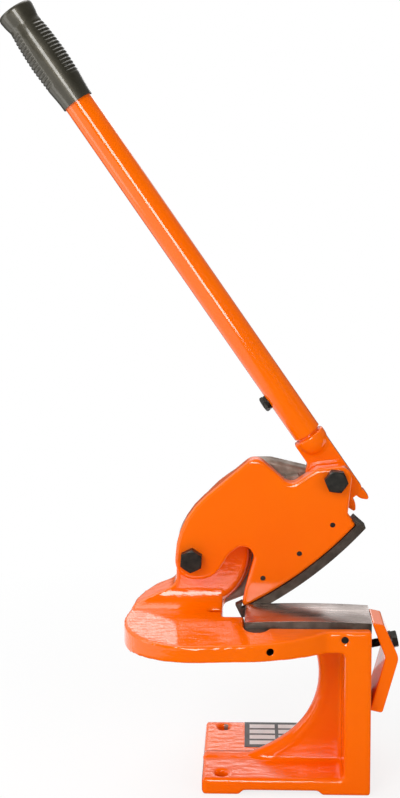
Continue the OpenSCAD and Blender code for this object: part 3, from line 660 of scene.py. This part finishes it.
def frame_piece():
    """The painted casting: raw edges rounded and filleted, then the seats and holes cut crisp."""
    obj = welded_copy("frame_casting", "frame_body")
    for plug in frame_machining(-1 * MM):
        combine(obj, plug, "UNION")
    foot_low, foot_high = -8 * MM, 2 * MM
    for left, right in ((BASE_LEFT, LEFT_PAD_END), (RIGHT_PAD_START, FRAME_HIGH.x)):
        foot = brick((left, -BASE_HALF_DEPTH, foot_low), (right, BASE_HALF_DEPTH, foot_high))
        combine(obj, foot, "UNION")
    neck_low = (FRAME_LOW.x, FRAME_LOW.y, TABLE_TOP - 10 * MM)
    neck_high = (THROAT_X - 0.5 * MM, FRAME_HIGH.y, PIVOT.z)
    wide_fillets(obj, brick(neck_low, neck_high), concave=14 * MM, voxel=2 * MM)
    ridge_low = (BASE_LEFT + 0.5 * MM, -60 * MM, BASE_TOP - 3 * MM)
    ridge_high = (70 * MM, 50 * MM, BASE_TOP + 25 * MM)
    wide_fillets(obj, brick(ridge_low, ridge_high), concave=10 * MM, voxel=1.6 * MM)
    cast_edges(obj, convex=2.6 * MM, concave=3.2 * MM, voxel=1.3 * MM)
    for cutter in frame_machining(5 * MM) + foot_machining():
        combine(obj, cutter, "DIFFERENCE")
    assign(obj, 1, iron_coloured_face)
    # The walls of the blade screws' holes take the black oxide as painted shade, so the holes look dark
    # inside.
    assign(obj, 2, painted_shade_hole_face)
    shade(obj)
    return dress(obj, "frame", "orange_paint", CAST_PAINT, IRON, OXIDE, node="frame_casting")


def label_piece():
    """A blank plate on the base: a dark border and rules round empty cells."""
    low = Vector((26 * MM, 4 * MM, BASE_TOP - 0.2 * MM))
    high = Vector((104 * MM, 66 * MM, BASE_TOP + 0.5 * MM))
    rows, columns = 4, 2
    border, rule = 6 * MM, 4.2 * MM
    cell_x = (high.x - low.x - 2 * border - (columns - 1) * rule) / columns
    cell_y = (high.y - low.y - 2 * border - (rows - 1) * rule) / rows
    mesh = bpy.data.meshes.new("label_plate")
    work = bmesh.new()
    add_box(work, low, high)
    for row in range(rows):
        for column in range(columns):
            x = low.x + border + column * (cell_x + rule)
            y = low.y + border + row * (cell_y + rule)
            add_box(work, (x, y, BASE_TOP), (x + cell_x, y + cell_y, high.z + 0.15 * MM), 1)
    work.to_mesh(mesh)
    work.free()
    return dress(new_object("label_plate", mesh), "frame", "black_oxide", LABEL_DARK, LABEL_PALE)


# Arm, lever and clamp


def arm_piece():
    """The painted arm: a plate with soft edges, cut to the CAD's pocket and holes."""
    machined = welded_copy("upper_arm", "arm_cutter")
    outline = outer_loop(machined, ARM_LOW.y)
    obj = plate("blade_arm", outline, ARM_LOW.y, ARM_HIGH.y)
    cast_edges(obj, convex=3.0 * MM, concave=0.0, voxel=0.8 * MM)
    combine(obj, machined, "INTERSECT")
    shade(obj)
    return dress(obj, "arm", "orange_paint", SMOOTH_PAINT, node="upper_arm")


def lever_piece():
    """The lever's gear and collar, with a soft blend where the collar meets the flat."""
    obj = welded_copy("lever_gear", "lever_casting")
    flat, collar, region_r = 22 * MM, 54 * MM, 24 * MM
    region = turned_body("region", [(region_r, flat), (region_r, collar)], HANDLE)
    wide_fillets(obj, region, concave=6 * MM, voxel=0.8 * MM)
    cast_edges(obj, convex=0.9 * MM, concave=0.6 * MM, voxel=0.6 * MM)
    shade(obj)
    return dress(obj, "lever", "orange_paint", SMOOTH_PAINT, node="lever_gear")


def clamp_piece():
    """The bent clamp plate, with soft edges."""
    obj = welded_copy("blade_clamp", "clamp_plate")
    cast_edges(obj, convex=1.1 * MM, concave=0.0, voxel=0.6 * MM)
    shade(obj)
    return dress(obj, "frame", "orange_paint", SMOOTH_PAINT, node="blade_clamp")


# Blades


def lower_blade_piece():
    """The lower blade: ground on top, dark on its sides."""
    obj = bevelled(welded_copy("lower_blade", "lower_blade_body"), width=0.35 * MM)
    assign(obj, 1, lambda at, normal: normal.z > 0.35 and at.z > TABLE_TOP + 1 * MM)
    shade(obj)
    return dress(obj, "frame", "ground_blade", DARK_BLADE, BRIGHT_BLADE, node="lower_blade")


# Fasteners

# Hexagons: half a side's angle, the chamfer's angle, and the face's share of the width across flats
HALF_SIDE, CHAMFER = math.radians(30), math.radians(30)
FACE_SHARE = 0.95
# Depth of a thread as a share of its pitch
THREAD_DEPTH = 0.55


def hex_piece(node, body, place, pitch=0.0, threaded=0.0):
    """A hexagon bolt or nut: its corners cut at 30 degrees, and thread rings at its free end."""
    obj = welded_copy(node, node + "_body")
    points = local_points(node, place)
    low, high = min(p.z for p in points), max(p.z for p in points)
    corner_r = max(p.xy.length for p in points)
    face_r = FACE_SHARE * corner_r * math.cos(HALF_SIDE)
    outside_r = 1.2 * corner_r
    cut = (outside_r - face_r) * math.tan(CHAMFER)
    rings = [(outside_r, high - cut), (face_r, high)]
    if pitch:
        shank_r = max(p.xy.length for p in points if p.z < low + 0.1 * MM)
        turns = int(threaded / pitch)
        depth = THREAD_DEPTH * pitch
        thread = []
        for i in range(turns):
            start = low + i * pitch
            thread += [(shank_r - depth, start), (shank_r + 0.01 * MM, start + 0.5 * pitch)]
        top = low + turns * pitch
        runout = [(shank_r - depth, top), (shank_r + 0.05 * MM, top + 0.5 * pitch), (outside_r, top + pitch)]
        rings = thread + runout + rings
    else:
        rings = [(outside_r, low - 1 * MM)] + rings
    combine(obj, turned_body("envelope", rings, place), "INTERSECT")
    shade(obj, angle=25.0)
    return dress(obj, body, "black_oxide", OXIDE, node=node)


def along_y(point, outwards):
    """The frame of a bolt whose head faces the front, or of a nut that faces the back."""
    turn = math.radians(90 if outwards < 0 else -90)
    return Matrix.Translation((point.x, 0, point.z)) @ Matrix.Rotation(turn, 4, "X")


def fasteners():
    """All the bolts and nuts with a hexagon."""
    hex_piece("main_pivot_bolt", "frame", along_y(PIVOT, -1), pitch=2 * MM, threaded=18 * MM)
    hex_piece("main_pivot_nut", "frame", along_y(PIVOT, 1))
    hex_piece("lever_pivot_bolt", "arm", along_y(LEVER_PIVOT, -1), pitch=2 * MM, threaded=18 * MM)
    hex_piece("lever_pivot_nut", "arm", along_y(LEVER_PIVOT, 1))
    hex_piece("clamp_bolt", "frame", CLAMP_BOLT, pitch=1.5 * MM, threaded=34 * MM)
    set_points = local_points("handle_set_bolt", HANDLE)
    set_height = (min(p.z for p in set_points) + max(p.z for p in set_points)) / 2
    out_left = HANDLE @ Matrix.Translation((0, 0, set_height)) @ Matrix.Rotation(math.radians(-90), 4, "Y")
    hex_piece("handle_set_bolt", "lever", out_left)
    hex_piece("handle_lock_nut", "lever", out_left)


# Grip


def grip_piece():
    """The moulded grip: a swelling sleeve with cross ribs on both sides and a flared end."""
    points = local_points("handle_grip", HANDLE)
    start, end = min(p.z for p in points), max(p.z for p in points)
    bore_r = 16.95 * MM
    cap = 5.9 * MM
    step = 0.6 * MM
    rib_pitch, rib_depth = 4.6 * MM, 1.2 * MM
    rib_start, rib_end = start + 28 * MM, start + 103 * MM
    rib_fade = 6 * MM
    plain_front, rib_blend = 0.46, 0.14
    places = [0, 10, 18, 26, 34, 42, 58, 74, 82, 90, 98, 106, 114, 122, 125, 126]
    radii = [18.9, 19.3, 20.1, 21, 21.6, 22, 22.5, 22, 21.5, 21.1, 20.1, 19, 20.8, 21.8, 21.4, 20.2]
    heights = np.arange(start, end + step / 2, step)
    profile = np.interp(heights - start, np.array(places) * MM, np.array(radii) * MM)
    window = np.hanning(9)[1:-1]
    smooth = np.convolve(np.pad(profile, 3, mode="edge"), window / window.sum(), mode="valid")
    rings = [(bore_r, end - cap), (bore_r, start)]
    for height, radius in zip(heights, smooth):
        turn = math.cos(2 * math.pi * (height - rib_start) / rib_pitch)
        fade = max(0.0, min(1.0, (height - rib_start) / rib_fade, (rib_end - height) / rib_fade))
        groove = rib_depth * fade * (0.5 - 0.5 * turn) ** 1.5

        def ribbed(angle, radius=radius, groove=groove):
            across = abs(math.cos(angle))
            side = max(0.0, min(1.0, (across - plain_front) / rib_blend))
            return radius - groove * side

        rings.append((ribbed, float(height)))
    obj = turned_body("grip_body", rings, HANDLE, sides=180)
    shade(obj, angle=45.0)
    return dress(obj, "lever", "black_grip", GRIP, node="handle_grip")


frame_piece()
label_piece()
arm_piece()
lever_piece()
clamp_piece()
lower_blade_piece()
fasteners()
grip_piece()

for node, material in (
    ("gear_sector", IRON),
    ("sector_screws", OXIDE),
    ("lower_blade_screws", OXIDE),
    ("clamp_washer", OXIDE),
    ("main_pivot_washer", ZINC),
    ("main_pivot_bush", BRONZE),
    ("upper_blade", DARK_BLADE),
    ("upper_blade_screws", OXIDE),
    ("lever_pivot_washer", ZINC),
    ("lever_bush", BRONZE),
    ("handle_tube", SMOOTH_PAINT),
):
    mesh = frame["nodes"][node].data
    mesh.materials.clear()
    mesh.materials.append(material)


# Stage


class Stage:
    """Builds the shader of the floor or of the world, with one answer for each kind of ray."""

    def __init__(self, tree):
        self.tree = tree
        tree.nodes.clear()
        self.path = tree.nodes.new("ShaderNodeLightPath")

    def link(self, output, target):
        self.tree.links.new(output, target)

    def math(self, operation, first, second):
        node = self.tree.nodes.new("ShaderNodeMath")
        node.operation = operation
        for value, socket in ((first, node.inputs[0]), (second, node.inputs[1])):
            if isinstance(value, float):
                socket.default_value = value
            else:
                self.link(value, socket)
        return node.outputs[0]

    def spread(self, value, start, end, low, high):
        """A level that goes from low to high as the value goes from start to end."""
        node = self.tree.nodes.new("ShaderNodeMapRange")
        for name, number in (("From Min", start), ("From Max", end), ("To Min", low), ("To Max", high)):
            node.inputs[name].default_value = number
        self.link(value, node.inputs["Value"])
        return node.outputs["Result"]

    def fade(self, vector, axis, start, end, low, high):
        """A level that goes from low to high as one part of the vector goes from start to end."""
        split = self.tree.nodes.new("ShaderNodeSeparateXYZ")
        self.link(vector, split.inputs[0])
        return self.spread(split.outputs[axis], start, end, low, high)

    def seen_level(self, mirrored):
        """White for what the camera sees directly, and the mirrored level in reflections."""
        rays = self.path.outputs
        clear = self.math("MAXIMUM", rays["Is Camera Ray"], rays["Is Transmission Ray"])
        return self.math("MAXIMUM", clear, self.math("MULTIPLY", rays["Is Glossy Ray"], mirrored))


# Levels in reflections, from the room on the camera's side to the floor on the left
DARK_ROOM = 0.02
DIM_HORIZON = 0.1
RIGHT_SKY = 0.15
HIGH_SKY = 0.7
LEFT_FLOOR = 0.8
# Level of the soft light, and the share of white on the floor next to the object
SOFT_LIGHT = 0.46
SHADED_FLOOR = 0.8


def floor():
    """A pale floor that keeps the object's shadow. In reflections its part in front of the object is dim."""
    half = 6.0
    corners = [(-half, -half, 0), (half, -half, 0), (half, half, 0), (-half, half, 0)]
    obj = new_object("floor", mesh_from("floor", corners, [(0, 1, 2, 3)]))
    obj.location.z = -0.2 * MM
    material = bpy.data.materials.new("floor")
    material.use_nodes = True
    stage = Stage(material.node_tree)
    nodes = material.node_tree.nodes
    matt = nodes.new("ShaderNodeBsdfDiffuse")
    matt.inputs["Color"].default_value = (0.92, 0.92, 0.92, 1)
    place = nodes.new("ShaderNodeNewGeometry").outputs["Position"]
    behind = stage.fade(place, "Y", FRAME_LOW.y + 0.11, FRAME_LOW.y + 0.23, DARK_ROOM, 1.0)
    left = stage.fade(place, "X", -0.30, -0.42, DARK_ROOM, LEFT_FLOOR)
    near = stage.fade(place, "Y", 0.5, 1.5, 1.0, DIM_HORIZON)
    mirrored = stage.math("MULTIPLY", stage.math("MAXIMUM", behind, left), near)
    glow = nodes.new("ShaderNodeEmission")
    stage.link(stage.seen_level(mirrored), glow.inputs["Strength"])
    distance = nodes.new("ShaderNodeVectorMath")
    distance.operation = "LENGTH"
    stage.link(place, distance.inputs[0])
    shadow_fades = stage.spread(distance.outputs["Value"], 0.25, 0.75, SHADED_FLOOR, 1.0)
    seen = stage.math("MULTIPLY", stage.path.outputs["Is Camera Ray"], shadow_fades)
    share = stage.math("MAXIMUM", seen, stage.path.outputs["Is Glossy Ray"])
    blend = nodes.new("ShaderNodeMixShader")
    stage.link(share, blend.inputs[0])
    stage.link(matt.outputs[0], blend.inputs[1])
    stage.link(glow.outputs[0], blend.inputs[2])
    output = nodes.new("ShaderNodeOutputMaterial")
    stage.link(blend.outputs[0], output.inputs["Surface"])
    obj.data.materials.append(material)


def world():
    """A white backdrop and a soft light, dim in reflections in front, on the right and at the horizon."""
    made = bpy.data.worlds.new("studio")
    bpy.context.scene.world = made
    made.use_nodes = True
    stage = Stage(made.node_tree)
    nodes = made.node_tree.nodes
    direction = nodes.new("ShaderNodeTexCoord").outputs["Generated"]
    behind = stage.fade(direction, "Y", -0.35, 0.15, DARK_ROOM, 1.0)
    above = stage.fade(direction, "Z", 0.05, 0.28, DIM_HORIZON, 1.0)
    high = stage.fade(direction, "Z", 0.40, 0.46, 1.0, HIGH_SKY)
    right = stage.fade(direction, "X", 0.2, 0.6, 1.0, RIGHT_SKY)
    mirrored = behind
    for level in (above, high, right):
        mirrored = stage.math("MULTIPLY", mirrored, level)
    diffuse = stage.math("MULTIPLY", stage.path.outputs["Is Diffuse Ray"], SOFT_LIGHT)
    level = stage.math("MAXIMUM", stage.seen_level(mirrored), diffuse)
    sky = nodes.new("ShaderNodeBackground")
    sky.inputs["Color"].default_value = (1, 1, 1, 1)
    stage.link(level, sky.inputs["Strength"])
    output = nodes.new("ShaderNodeOutputWorld")
    stage.link(sky.outputs[0], output.inputs["Surface"])


def softbox(name, place, target, size, power, mirrored=True, lit=True, lean=0.0):
    """A flat lamp, leaning to the left. It shows in reflections, lights matt surfaces, or both."""
    lamp = bpy.data.lights.new(name, "AREA")
    lamp.shape = "RECTANGLE"
    lamp.size, lamp.size_y = size
    lamp.energy = power
    obj = bpy.data.objects.new(name, lamp)
    bpy.context.scene.collection.objects.link(obj)
    obj.location = place
    aim = (Vector(target) - Vector(place)).to_track_quat("-Z", "Y")
    obj.rotation_euler = (aim @ Quaternion((0, 0, 1), math.radians(lean))).to_euler()
    obj.visible_glossy = mirrored
    obj.visible_diffuse = lit


def camera():
    """The camera that was fitted to the photograph."""
    made = bpy.data.cameras.new("camera")
    made.sensor_width = SENSOR
    made.lens = FOCAL_PX / PHOTO_H * SENSOR
    made.shift_x = (PHOTO_W / 2 - PRINCIPAL_PX[0]) / PHOTO_H
    made.shift_y = (PRINCIPAL_PX[1] - PHOTO_H / 2) / PHOTO_H
    obj = bpy.data.objects.new("camera", made)
    bpy.context.scene.collection.objects.link(obj)
    obj.location = CAMERA_PLACE
    obj.rotation_euler = (math.radians(90 - CAMERA_PITCH), 0, math.radians(CAMERA_YAW))
    bpy.context.scene.camera = obj


floor()
world()
softbox("key", (-1.1, -1.6, 1.7), (0.05, 0, 0.3), (1.0, 1.0), 21, mirrored=False)
softbox("fill", (1.5, -1.5, 0.9), (0.05, 0, 0.3), (1.2, 1.2), 10, mirrored=False)
softbox("top", (-0.5, 0.4, 2.0), (0.05, 0, 0.2), (1.6, 1.2), 12)
softbox("left", (-1.0, -0.25, 0.65), (0.0, 0, 0.45), (0.40, 1.3), 2.5)
softbox("strip", (-0.21, -1.48, 0.907), (-0.345, 0.02, 0.272), (0.42, 1.29), 18, lean=34.6, lit=False)
softbox("back", (0.0, 5.0, 2.17), (0.0, 0, 0.19), (2.4, 0.45), 8)
camera()

scene = bpy.context.scene
scene.view_settings.view_transform = "Standard"
